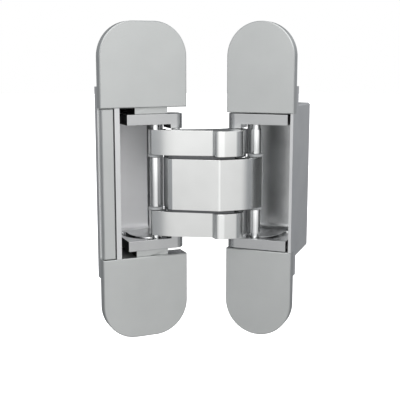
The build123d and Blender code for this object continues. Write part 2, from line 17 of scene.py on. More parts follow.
import bmesh
import bpy
import numpy as np
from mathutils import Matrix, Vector


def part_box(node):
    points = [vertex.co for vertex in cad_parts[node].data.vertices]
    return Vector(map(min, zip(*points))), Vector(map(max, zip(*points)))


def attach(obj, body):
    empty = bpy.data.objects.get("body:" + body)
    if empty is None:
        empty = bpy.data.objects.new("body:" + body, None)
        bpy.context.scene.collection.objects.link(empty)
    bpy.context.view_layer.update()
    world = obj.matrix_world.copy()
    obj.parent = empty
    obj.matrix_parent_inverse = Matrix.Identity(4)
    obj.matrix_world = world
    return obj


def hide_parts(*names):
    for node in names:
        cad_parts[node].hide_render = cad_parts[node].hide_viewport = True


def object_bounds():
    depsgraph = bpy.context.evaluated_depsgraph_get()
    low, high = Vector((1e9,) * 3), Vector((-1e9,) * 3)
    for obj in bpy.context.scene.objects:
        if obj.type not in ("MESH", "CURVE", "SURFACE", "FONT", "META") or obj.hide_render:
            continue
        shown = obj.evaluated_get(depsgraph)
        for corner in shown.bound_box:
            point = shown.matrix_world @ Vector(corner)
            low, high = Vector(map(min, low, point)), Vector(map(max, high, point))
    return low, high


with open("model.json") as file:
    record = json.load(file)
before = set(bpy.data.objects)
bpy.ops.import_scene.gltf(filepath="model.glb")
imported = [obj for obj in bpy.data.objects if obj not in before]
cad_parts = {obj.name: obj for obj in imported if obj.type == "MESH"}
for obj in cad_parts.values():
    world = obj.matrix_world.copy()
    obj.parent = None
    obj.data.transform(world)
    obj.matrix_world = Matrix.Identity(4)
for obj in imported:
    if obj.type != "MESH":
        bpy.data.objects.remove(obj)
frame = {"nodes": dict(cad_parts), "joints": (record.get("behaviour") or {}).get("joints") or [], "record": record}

CAD_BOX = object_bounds()
MM = 0.001
ENDS = ("upper", "lower")
log = logging.getLogger("hinge")

# The share of an axis that is upright, past which the level direction beside it is taken from x.
NEARLY_UPRIGHT = 0.9
# The slow mottling of every finish: the width of a patch in millimetres and the noise's useful span.
MOTTLE_WIDTH = 11
MOTTLE_SPAN = (0.3, 0.7)
# The shares of a finish's roughness at the bottom and at the top of its pattern.
ROUGHNESS_SHARES = (0.9, 1.1)
# How a copied solid is cleaned and eased: the distance in millimetres at which points are merged, the
# angles in degrees under which faces are joined and over which an edge is sharp, and the bevel's steps.
MERGE_DISTANCE = 0.001
FLAT_ANGLE = 0.5
SHARP_ANGLE = 20
BEVEL_STEPS = 2


# ---- colours and nodes ----
def linear(hex_colour: str) -> tuple[float, float, float, float]:
    """Turns an sRGB hex colour into linear RGBA.

    The curve is the sRGB one: a short straight run near black, then a power of 2.4.

    Args:
        hex_colour: The colour as "#RRGGBB".

    Returns:
        Linear red, green, blue and a full alpha.
    """
    shares = np.array([int(hex_colour[at:at + 2], 16) for at in (1, 3, 5)]) / 255
    straight = shares / 12.92
    curved = ((shares + 0.055) / 1.055) ** 2.4
    red, green, blue = np.where(shares <= 0.04045, straight, curved)
    return float(red), float(green), float(blue), 1.0


def add(tree: bpy.types.NodeTree, kind: str, inputs: dict | None = None,
        **settings: object) -> bpy.types.Node:
    """Adds a node with its settings and links.

    Args:
        tree: The node tree that takes the node.
        kind: The node's Blender type name.
        inputs: For each input, by name or number, a value to set or an output to link.
        **settings: Properties of the node itself.

    Returns:
        The new node.
    """
    node = tree.nodes.new(kind)
    for name, value in settings.items():
        setattr(node, name, value)
    for name, value in (inputs or {}).items():
        if isinstance(value, bpy.types.NodeSocket):
            tree.links.new(value, node.inputs[name])
        else:
            node.inputs[name].default_value = value
    return node


# ---- surfaces ----
def turned_grid(radii: np.ndarray, heights: np.ndarray, closed: bool) -> tuple[np.ndarray, list]:
    """A surface of revolution from a grid of radii.

    The point in row i and column j is at (r cos a, r sin a, h), with r = radii[i, j],
    h = heights[i] and a the angle of column j in a full turn. A closed profile joins its
    last row to its first. An open one ends in a point on the axis at either end.

    Args:
        radii: One row for each profile point and one column for each step of the turn.
        heights: The height of each row.
        closed: Whether the profile closes on itself.

    Returns:
        The points, and the faces as lists of point numbers.
    """
    rows, columns = radii.shape
    angle = np.linspace(0, 2 * math.pi, columns, endpoint=False)
    level = np.repeat(heights[:, None], columns, 1)
    points = np.stack([radii * np.cos(angle), radii * np.sin(angle), level], -1).reshape(-1, 3)
    steps = rows if closed else rows - 1
    row = np.arange(steps)[:, None]
    column = np.arange(columns)[None, :]
    after = (column + 1) % columns
    above = (row + 1) % rows
    quads = np.stack(np.broadcast_arrays(
        row * columns + column, row * columns + after, above * columns + after, above * columns + column), -1)
    faces = quads.reshape(-1, 4).tolist()
    if not closed:
        first, last = len(points), len(points) + 1
        points = np.vstack([points, [[0, 0, heights[0]], [0, 0, heights[-1]]]])
        rim = np.arange(columns)
        beside = (rim + 1) % columns
        top = (rows - 1) * columns
        faces += np.stack([np.full(columns, first), beside, rim], -1).tolist()
        faces += np.stack([np.full(columns, last), top + rim, top + beside], -1).tolist()
    return points, faces


def eased(corners: np.ndarray, ease: float, steps: int) -> np.ndarray:
    """Rounds the right-angled corners of a closed outline.

    Each corner p becomes a quarter circle about p + ease (u + v), where u and v are the
    unit directions to the corners before and after it.

    Args:
        corners: The outline's corners in order, each a pair.
        ease: The radius of the rounds.
        steps: How many points each round gets, less one.

    Returns:
        The rounded outline's points in order.
    """
    before = np.roll(corners, 1, 0) - corners
    after = np.roll(corners, -1, 0) - corners
    before /= np.linalg.norm(before, axis=1, keepdims=True)
    after /= np.linalg.norm(after, axis=1, keepdims=True)
    turn = np.linspace(0, math.pi / 2, steps + 1)[None, :, None]
    centre = (corners + ease * (before + after))[:, None, :]
    arcs = centre - ease * (before[:, None, :] * np.sin(turn) + after[:, None, :] * np.cos(turn))
    return arcs.reshape(-1, 2)


def upright_basis(axis: Vector) -> np.ndarray:
    """Three unit directions, as rows, of which the last is the axis.

    Args:
        axis: The axis to stand on.

    Returns:
        A right-handed set of directions.
    """
    up = np.array(axis.normalized())
    aside = np.cross([1.0, 0.0, 0.0] if abs(up[2]) > NEARLY_UPRIGHT else [0.0, 0.0, 1.0], up)
    aside /= np.linalg.norm(aside)
    return np.stack([aside, np.cross(up, aside), up])


def surface_piece(name: str, points: np.ndarray, faces: list) -> bpy.types.Object:
    """Makes a piece of a closed surface, smooth and with its faces outwards.

    The signed volume is the sum over the faces' fans of one sixth of a . (b x c). Where it
    is negative, every face is turned round.

    Args:
        name: The piece's name.
        points: Its points in metres, in the hinge's own place.
        faces: Its faces.

    Returns:
        The new object, at the origin.
    """
    fans = np.array([(face[0], face[at], face[at + 1]) for face in faces for at in range(1, len(face) - 1)])
    a, b, c = points[fans].swapaxes(0, 1)
    if np.einsum("ij,ij->", a, np.cross(b, c)) < 0:
        faces = [face[::-1] for face in faces]
    mesh = bpy.data.meshes.new(name)
    mesh.from_pydata(points.tolist(), [], faces)
    mesh.shade_smooth()
    piece = bpy.data.objects.new(name, mesh)
    bpy.context.scene.collection.objects.link(piece)
    return piece


# ---- finishes ----
@dataclass(frozen=True)
class Finish:
    """What every finish states: a metal or a plastic with a colour and a sheen.

    Attributes:
        name: The material and how its surface was made.
        colour: The sRGB colour seen straight on.
        shade: The sRGB colour of the darker mottling.
        roughness: The mean roughness.
        metallic: 1 for a metal and 0 for a plastic.
    """

    name: str
    colour: str
    shade: str
    roughness: float
    metallic: float = 1.0

    def pattern(self, tree: bpy.types.NodeTree, place: bpy.types.NodeSocket) -> bpy.types.NodeSocket:
        """The finish's height pattern, from 0 to 1, at each place on the piece."""
        raise NotImplementedError

    def relief(self) -> float:
        """How deep the pattern is, in millimetres."""
        raise NotImplementedError

    def material(self) -> bpy.types.Material:
        """Makes the finish's material.

        A slow mottling moves the colour between its two tones, and the pattern gives the
        bump and a small change of roughness.

        Returns:
            The new material.
        """
        material = bpy.data.materials.new(self.name)
        material.use_nodes = True
        tree = material.node_tree
        tree.nodes.clear()
        place = add(tree, "ShaderNodeTexCoord").outputs["Object"]
        mottle = add(tree, "ShaderNodeTexNoise", {
            "Vector": place, "Scale": 1 / (MOTTLE_WIDTH * MM), "Detail": 3.0})
        height = self.pattern(tree, place)
        tone = add(tree, "ShaderNodeMapRange", {
            "Value": mottle.outputs["Fac"], "From Min": MOTTLE_SPAN[0], "From Max": MOTTLE_SPAN[1]})
        colour = add(tree, "ShaderNodeMix", {
            0: tone.outputs["Result"], 6: linear(self.colour), 7: linear(self.shade)}, data_type="RGBA")
        smoothest, roughest = (self.roughness * share for share in ROUGHNESS_SHARES)
        rough = add(tree, "ShaderNodeMapRange", {"Value": height, "To Min": smoothest, "To Max": roughest})
        bump = add(tree, "ShaderNodeBump", {
            "Height": height, "Distance": self.relief() * MM, "Strength": 1.0})
        shader = add(tree, "ShaderNodeBsdfPrincipled", {
            "Base Color": colour.outputs[2], "Roughness": rough.outputs["Result"],
            "Metallic": self.metallic, "Normal": bump.outputs["Normal"]})
        add(tree, "ShaderNodeOutputMaterial", {"Surface": shader.outputs["BSDF"]})
        return material


@dataclass(frozen=True)
class Blasted(Finish):
    """A casting or moulding with a fine even grain, as beads, tumbling or the mould leave it.

    It scatters light evenly in every direction.

    Attributes:
        grain: The width of one dimple in millimetres.
        depth: How deep a dimple is in millimetres.
    """

    grain: float = 0.35
    depth: float = 0.004

    def pattern(self, tree: bpy.types.NodeTree, place: bpy.types.NodeSocket) -> bpy.types.NodeSocket:
        """Fine noise, one lump for each dimple."""
        noise = add(tree, "ShaderNodeTexNoise", {
            "Vector": place, "Scale": 1 / (self.grain * MM), "Detail": 2.0, "Roughness": 0.6})
        return noise.outputs["Fac"]

    def relief(self) -> float:
        """The dimples' depth."""
        return self.depth


@dataclass(frozen=True)
class Drawn(Finish):
    """A metal drawn or ground along one direction, which leaves long faint lines.

    Attributes:
        spacing: The distance between lines in millimetres.
        run: How far a line runs before it fades, in millimetres.
        depth: How deep the lines are in millimetres.
        lengthwise: Whether the lines run up the piece, and not round it.
    """

    spacing: float = 0.25
    run: float = 14.0
    depth: float = 0.0008
    lengthwise: bool = True

    def pattern(self, tree: bpy.types.NodeTree, place: bpy.types.NodeSocket) -> bpy.types.NodeSocket:
        """Noise drawn out along the lines and tight across them.

        Args:
            tree: The material's node tree.
            place: The places on the piece.

        Returns:
            The pattern's height, from 0 to 1.
        """
        across = 1 / (self.spacing * MM)
        along = 1 / (self.run * MM)
        scale = (across, across, along) if self.lengthwise else (along, along, across)
        stretched = add(tree, "ShaderNodeMapping", {"Vector": place, "Scale": scale})
        noise = add(tree, "ShaderNodeTexNoise", {
            "Vector": stretched.outputs["Vector"], "Scale": 1.0, "Detail": 2.0})
        return noise.outputs["Fac"]

    def relief(self) -> float:
        """The lines' depth."""
        return self.depth


class Metal(Enum):
    """The finishes of this hinge."""

    # Satin nickel on belt-ground zinc: a pale, even grey with a soft broad sheen and faint level lines.
    SATIN_NICKEL = Drawn("satin_nickel_on_zinc", "#CBCDCC", "#C7C9C8", 0.44,
                         spacing=0.3, run=7.0, depth=0.0045, lengthwise=False)
    # The housings are plated in the same bath, but their flanks are left as cast, paler and a little grainy.
    PLATED_CASTING = Blasted("plated_zinc_casting", "#E2E3E3", "#DADBDC", 0.42, grain=0.5, depth=0.006)
    # The carriages are tumbled until they are smooth, so their pockets mirror the light from the mouth.
    TUMBLED_ZINC = Blasted("tumbled_zinc_casting", "#CECFCF", "#C8C9CA", 0.26, grain=0.45, depth=0.003)
    # Painted shade: the inside of the frame's housing, and the sides that face it, are painted dull and dark as
    # the shade in there.
    PAINTED_SHADE_CASTING = Blasted("painted_shade_zinc_casting", "#2E2F30", "#292A2B", 0.6, grain=0.6, depth=0.006)
    # The bottom of the frame half's pocket is bead blasted and dull, and painted near white: painted light that
    # brightens it in the shade.
    BLASTED_AND_LIT_ZINC = Blasted("bead_blasted_zinc_painted_light", "#FBFBFC", "#F7F7F8", 0.7, grain=0.45, depth=0.004)
    # The arms are cut from a drawn bar and polished, so they mirror the room in soft upright bands.
    POLISHED_NICKEL = Drawn("polished_nickel_arm", "#F3F4F3", "#ECEDEC", 0.19)
    # Painted shade: the arms' heels are painted duller and darker than the faces.
    PAINTED_SHADE_NICKEL = Drawn("painted_shade_nickel_heel", "#B2B3B4", "#A9AAAB", 0.3)
    # The pins and sleeves are centreless ground, with fine rings that blur a highlight up and down.
    GROUND_STEEL = Drawn("ground_steel", "#F4F5F5", "#EEEFEF", 0.22,
                         spacing=0.2, run=6.0, depth=0.0003, lengthwise=False)
    # The washers are moulded acetal, waxy and mid grey.
    ACETAL = Blasted("moulded_acetal", "#9A9C9D", "#929495", 0.38, metallic=0.0, grain=0.6, depth=0.003)
    # The wearing plates between the arms, and the sheets beyond them, are dark plastic: partly a real acetal
    # spacer, and partly painted shade in the slit between the arms.
    DARK_ACETAL_AND_SHADE = Blasted("dark_acetal_and_painted_shade", "#4A4B4D", "#454648", 0.42,
                          metallic=0.0, grain=0.6, depth=0.003)
    # The screws are zinc plated, a little blue.
    ZINC_PLATE = Drawn("zinc_plated_steel", "#C9CED6", "#BFC5CE", 0.24,
                       spacing=0.18, run=3.0, lengthwise=False)


@dataclass
class Finishes:
    """The materials made so far, so that each finish is made once.

    Attributes:
        made: The material of each finish.
    """

    made: dict[Metal, bpy.types.Material] = field(default_factory=dict)

    def of(self, metal: Metal) -> bpy.types.Material:
        """The material of a finish, made the first time it is asked for.

        Args:
            metal: The finish.

        Returns:
            Its material.
        """
        if metal not in self.made:
            self.made[metal] = metal.value.material()
        return self.made[metal]

    def dress_node(self, node: str, metal: Metal) -> None:
        """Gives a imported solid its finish.

        Args:
            node: The solid's name.
            metal: Its finish.
        """
        for slot in frame["nodes"][node].material_slots:
            slot.material = self.of(metal)
        log.info("dressed %s in %s", node, metal.value.name)

    def dress_faces(self, piece: bpy.types.Object, metals: tuple[Metal, ...],
                    choose: Callable[[bpy.types.MeshPolygon], int]) -> None:
        """Gives a piece its finishes, and each of its faces the one that a rule chooses.

        Args:
            piece: The piece.
            metals: Its finishes.
            choose: Gives, for a face, the number of its finish among them.
        """
        for metal in metals:
            piece.data.materials.append(self.of(metal))
        for face in piece.data.polygons:
            face.material_index = choose(face)


# ---- turned pieces ----
def body_of(node: str) -> str:
    """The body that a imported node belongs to."""
    bodies = frame["record"]["behaviour"]["bodies"]
    return next(name for name, nodes in bodies.items() if node in nodes)


@dataclass
class Turned:
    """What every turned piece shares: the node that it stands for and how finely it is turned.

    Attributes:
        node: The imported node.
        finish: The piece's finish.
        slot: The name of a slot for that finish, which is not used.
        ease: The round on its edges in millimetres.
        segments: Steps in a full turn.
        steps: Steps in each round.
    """

    node: str
    finish: Metal
    slot: str
    ease: float = 0.12
    segments: int = 96
    steps: int = 4

    def profile(self, radius: float, length: float) -> tuple[np.ndarray, np.ndarray, bool]:
        """The rows of radii and heights, and whether the profile is closed.

        Args:
            radius: The piece's outer radius in metres.
            length: Its length in metres.

        Returns:
            The radii by row and step of the turn, the rows' heights, and whether it is closed.
        """
        raise NotImplementedError

    def axis(self) -> Vector:
        """The direction of the piece's axis."""
        return Vector((0, 0, 1))

    def reach(self) -> tuple[np.ndarray, float, float]:
        """Where the node stands.

        Returns:
            The middle of its near end, its radius and its length, in metres.
        """
        low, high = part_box(self.node)
        middle = (low + high) / 2
        return np.array((middle.x, middle.y, low.z)), (high.x - low.x) / 2, high.z - low.z

    def build(self, finishes: Finishes) -> bpy.types.Object:
        """Makes the piece in the node's place and lets it ride on the node's body.

        Args:
            finishes: The materials.

        Returns:
            The finished piece.
        """
        start, radius, length = self.reach()
        radii, heights, closed = self.profile(radius, length)
        points, faces = turned_grid(radii, heights, closed)
        piece = surface_piece(f"{self.node}_turned", start + points @ upright_basis(self.axis()), faces)
        piece.data.materials.append(finishes.of(self.finish))
        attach(piece, body_of(self.node))
        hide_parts(self.node)
        return piece


@dataclass
class Ring(Turned):
    """A sleeve or a washer about a pin.

    Attributes:
        bore: The radius of its bore in millimetres.
    """

    bore: float = 1.45

    def profile(self, radius: float, length: float) -> tuple[np.ndarray, np.ndarray, bool]:
        """A rectangle between bore and outside, with eased corners, turned about the axis.

        Args:
            radius: The piece's outer radius in metres.
            length: Its length in metres.

        Returns:
            The radii by row and step of the turn, the rows' heights, and that it is closed.
        """
        inner = self.bore * MM
        corners = np.array([(inner, 0), (radius, 0), (radius, length), (inner, length)])
        outline = eased(corners, self.ease * MM, self.steps)
        return np.repeat(outline[:, :1], self.segments, 1), outline[:, 1], True


@dataclass
class Pin(Turned):
    """A pin with rounded ends."""

    def profile(self, radius: float, length: float) -> tuple[np.ndarray, np.ndarray, bool]:
        """The outer half of a rectangle with eased corners: the half away from the axis.

        Args:
            radius: The piece's outer radius in metres.
            length: Its length in metres.

        Returns:
            The radii by row and step of the turn, the rows' heights, and that it is open.
        """
        corners = np.array([(-radius, 0), (radius, 0), (radius, length), (-radius, length)])
        outline = eased(corners, self.ease * MM, self.steps)
        half = outline[outline[:, 0] > 0]
        return np.repeat(half[:, :1], self.segments, 1), half[:, 1], False


@dataclass
class Screw(Turned):
    """A screw with a hexagon socket, worked out along its own axis from the head to the tip.

    Attributes:
        head_height: How thick the head is in millimetres.
        shank: The thread's outer radius in millimetres.
        pitch: The thread's pitch in millimetres.
        thread_depth: How deep the thread is cut in millimetres.
        socket_across: The hexagon socket's width across its flats in millimetres.
        socket_depth: How deep the socket is in millimetres.
        rows_a_turn: How many rows of points a turn of the thread gets.
        run_in: How far under the head the thread begins, in millimetres.
        run_out: How far before the screw's end it stops, in millimetres.
        tip_height: How far before the end the tip begins to taper, in millimetres.
        tip_taper: How much smaller than the thread the tip's radius is, in millimetres.
        inward: The direction that the screw runs in.
    """

    head_height: float = 1.0
    shank: float = 1.75
    pitch: float = 0.8
    thread_depth: float = 0.28
    socket_across: float = 2.5
    socket_depth: float = 0.7
    rows_a_turn: int = 10
    run_in: float = 0.1
    run_out: float = 0.5
    tip_height: float = 0.4
    tip_taper: float = 0.6
    inward: Vector = field(default_factory=lambda: Vector((0, 1, 0)))

    def axis(self) -> Vector:
        """The direction that the screw runs in."""
        return self.inward

    def reach(self) -> tuple[np.ndarray, float, float]:
        """Where the screw stands, from the corners of its node along its own axis.

        Returns:
            The middle of its head's face, the head's radius and the whole length, in metres.
        """
        mesh = frame["nodes"][self.node].data
        flat = np.zeros(len(mesh.vertices) * 3)
        mesh.vertices.foreach_get("co", flat)
        along = flat.reshape(-1, 3) @ upright_basis(self.axis()).T
        low, high = along.min(0), along.max(0)
        middle = (low + high) / 2
        start = np.array((middle[0], middle[1], low[2])) @ upright_basis(self.axis())
        return start, (high[0] - low[0]) / 2, high[2] - low[2]

    def profile(self, radius: float, length: float) -> tuple[np.ndarray, np.ndarray, bool]:
        """The socket, the head, the thread and its tip, row by row.

        A row of the socket is a hexagon: its radius is half the width across the flats over
        the cosine of the angle from the nearest flat. A row of the thread is a circle less
        the thread's depth times a triangle wave that rises one pitch with each turn.

        Args:
            radius: The piece's outer radius in metres.
            length: Its length in metres.

        Returns:
            The radii by row and step of the turn, the rows' heights, and that it is open.
        """
        angle = np.linspace(0, 2 * math.pi, self.segments, endpoint=False)
        flat = math.pi / 3
        from_flat = (angle + flat / 2) % flat - flat / 2
        hexagon = self.socket_across / 2 / np.cos(from_flat)
        head = radius / MM
        end = length / MM
        ease = self.ease
        start = self.head_height
        turns = np.arange(start + self.run_in, end - self.run_out, self.pitch / self.rows_a_turn)
        wave = np.abs(2 * ((turns[:, None] / self.pitch - angle / (2 * math.pi)) % 1) - 1)
        thread = self.shank - self.thread_depth * wave
        round_rows = np.array([(head - ease, 0), (head, ease), (head, start - ease), (head - ease, start),
                               (self.shank, start)])
        tip_rows = np.array([(self.shank - self.thread_depth, end - self.tip_height),
                             (self.shank - self.tip_taper, end)])
        radii = np.vstack([hexagon, hexagon, np.repeat(round_rows[:, :1], self.segments, 1), thread,
                           np.repeat(tip_rows[:, :1], self.segments, 1)])
        heights = np.concatenate([[self.socket_depth, 0.0], round_rows[:, 1], turns, tip_rows[:, 1]])
        return radii * MM, heights * MM, False


# ---- plates and softened edges ----
def plate_surface(outline: np.ndarray, hole: float, low: float, high: float,
                  steps: int = 48) -> tuple[np.ndarray, list]:
    """A flat plate with a round hole at its middle.

    The outer ring's points lie at even steps along each edge of the outline, and a point p of
    it has its partner on the hole at hole p / |p|. Each ring is there at both heights, so the
    plate is a band bent into a closed loop: outline low, outline high, hole high, hole low.

    Args:
        outline: The outline's corners in order, seen from the hole's middle.
        hole: The hole's radius.
        low: The height of the plate's under side.
        high: The height of its upper side.
        steps: How many points each edge of the outline gets, with its first corner.

    Returns:
        The points, and the faces as lists of point numbers.
    """
    share = np.linspace(0, 1, steps, endpoint=False)[None, :, None]
    after = np.roll(outline, -1, 0)
    rim = (outline[:, None, :] * (1 - share) + after[:, None, :] * share).reshape(-1, 2)
    inner = hole * rim / np.linalg.norm(rim, axis=1, keepdims=True)
    rings = [(rim, low), (rim, high), (inner, high), (inner, low)]
    points = np.vstack([np.column_stack([ring, np.full(len(ring), height)]) for ring, height in rings])
    row = np.arange(4)[:, None] * len(rim)
    column = np.arange(len(rim))[None, :]
    after_column = (column + 1) % len(rim)
    above = np.roll(row, -1, 0)
    quads = np.stack(np.broadcast_arrays(
        row + column, row + after_column, above + after_column, above + column), -1)
    return points, quads.reshape(-1, 4).tolist()


def softened(node: str, width: float) -> bpy.types.Object:
    """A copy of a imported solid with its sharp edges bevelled.

    The solid's loose triangles are merged and its flat faces joined first.

    Args:
        node: The solid's name.
        width: The bevel's width in millimetres.

    Returns:
        The copy, without a finish yet, which rides on the solid's body and stands for it.
    """
    source = frame["nodes"][node]
    mesh = source.data.copy()
    mesh.name = f"{node}_softened"
    mesh.materials.clear()
    form = bmesh.new()
    form.from_mesh(mesh)
    bmesh.ops.remove_doubles(form, verts=form.verts, dist=MERGE_DISTANCE * MM)
    bmesh.ops.dissolve_limit(form, angle_limit=math.radians(FLAT_ANGLE), verts=form.verts, edges=form.edges)
    form.to_mesh(mesh)
    form.free()
    mesh.shade_smooth()
    mesh.set_sharp_from_angle(angle=math.radians(SHARP_ANGLE))
    piece = bpy.data.objects.new(mesh.name, mesh)
    bpy.context.scene.collection.objects.link(piece)
    bevel = piece.modifiers.new("bevel", "BEVEL")
    bevel.width = width * MM
    bevel.segments = BEVEL_STEPS
    bevel.limit_method = "ANGLE"
    bevel.angle_limit = math.radians(SHARP_ANGLE)
    bevel.harden_normals = True
    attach(piece, body_of(node))
    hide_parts(node)
    return piece


# ---- the sub-assemblies ----
@dataclass
class FrameHalf:
    """The half let into the frame: its housing, covers, height blocks and carriage.

    Attributes:
        finishes: The materials.
        carriage_ease: The bevel on the carriage's edges in millimetres.
        housing_ease: The bevel on the housing's and the blocks' edges in millimetres.
        pocket_half: Half the height of the carriage's pocket in millimetres.
        pocket_depth: How deep in the hinge the pocket's bottom, which gets painted light, begins, in millimetres.
        far_side: A face belongs to the carriage's far side, which gets painted shade, where its normal's x is
            below this.
        block_front: A face belongs to a block's front where its normal's y is at most this; the other faces get
            painted shade.
        recess: Two corners of the box that the inside faces of the housing, which get painted shade, lie in, in
            millimetres.
        clamp_head: The clamp screws' head height in millimetres.
        clamp_shank: Their thread's radius in millimetres.
        clamp_pitch: Its pitch in millimetres.
        clamp_thread: How deep it is cut in millimetres.
    """

    finishes: Finishes
    carriage_ease: float = 0.2
    housing_ease: float = 0.15
    pocket_half: float = 20.35
    pocket_depth: float = 19.5
    far_side: float = -0.9
    block_front: float = -0.5
    recess: tuple[tuple[float, float, float], ...] = ((-24.6, 2.0, -28.6), (-6.4, 24.1, 28.6))
    clamp_head: float = 1.1
    clamp_shank: float = 1.5
    clamp_pitch: float = 0.5
    clamp_thread: float = 0.2

    def carriage(self) -> bpy.types.Object:
        """The sliding carriage: tumbled, with a blasted pocket bottom painted near white as painted light, and
        painted shade on its far side.

        Returns:
            The finished piece.
        """
        def finish_of(face: bpy.types.MeshPolygon) -> int:
            """Which of the three finishes a face has."""
            # The pocket's bottom gets painted light, and the far side painted shade.
            lit_pocket_bottom = (abs(face.center.z) <= self.pocket_half * MM
                      and face.center.y >= self.pocket_depth * MM)
            return 2 if face.normal.x < self.far_side else int(lit_pocket_bottom)

        piece = softened("frame_carriage", self.carriage_ease)
        metals = (Metal.TUMBLED_ZINC, Metal.BLASTED_AND_LIT_ZINC, Metal.PAINTED_SHADE_CASTING)
        self.finishes.dress_faces(piece, metals, finish_of)
        return piece

    def housing(self) -> bpy.types.Object:
        """The housing: plated outside, with painted shade inside the recess that the carriage slides in.

        Returns:
            The finished piece.
        """
        low, high = (np.array(corner) * MM for corner in self.recess)

        def finish_of(face: bpy.types.MeshPolygon) -> int:
            """1 for a face inside the recess, which gets painted shade, and 0 for the others."""
            return int(bool(np.all(low < face.center) and np.all(face.center < high)))

        piece = softened("frame_housing", self.housing_ease)
        self.finishes.dress_faces(piece, (Metal.PLATED_CASTING, Metal.PAINTED_SHADE_CASTING), finish_of)
        return piece

    def block(self, end: str) -> bpy.types.Object:
        """A height block: satin nickel in front, with painted shade at its sides.

        Args:
            end: "upper" or "lower".

        Returns:
            The finished piece.
        """
        piece = softened(f"height_block_{end}", self.housing_ease)
        self.finishes.dress_faces(piece, (Metal.SATIN_NICKEL, Metal.PAINTED_SHADE_CASTING),
                                  lambda face: int(face.normal.y > self.block_front))
        return piece

    def clamp_screw(self, end: str) -> bpy.types.Object:
        """The screw that holds a height block.

        Args:
            end: "upper" or "lower".

        Returns:
            The finished piece.
        """
        screw = Screw(f"clamp_screw_{end}", Metal.ZINC_PLATE, "screw", head_height=self.clamp_head,
                      shank=self.clamp_shank, pitch=self.clamp_pitch, thread_depth=self.clamp_thread)
        return screw.build(self.finishes)

    def build(self) -> list[bpy.types.Object]:
        """Makes the half's own pieces, and dresses its solids.

        Returns:
            The pieces made.
        """
        pieces = [Pin("frame_pivot_pin", Metal.GROUND_STEEL, "pin").build(self.finishes),
                  self.carriage(), self.housing()]
        pieces += [self.block(end) for end in ENDS]
        pieces += [self.clamp_screw(end) for end in ENDS]
        self.dress()
        return pieces

    def dress(self) -> None:
        """Gives the covers and the trim strip their finish."""
        for node in ("frame_trim_strip", "frame_cover_upper", "frame_cover_lower"):
            self.finishes.dress_node(node, Metal.SATIN_NICKEL)


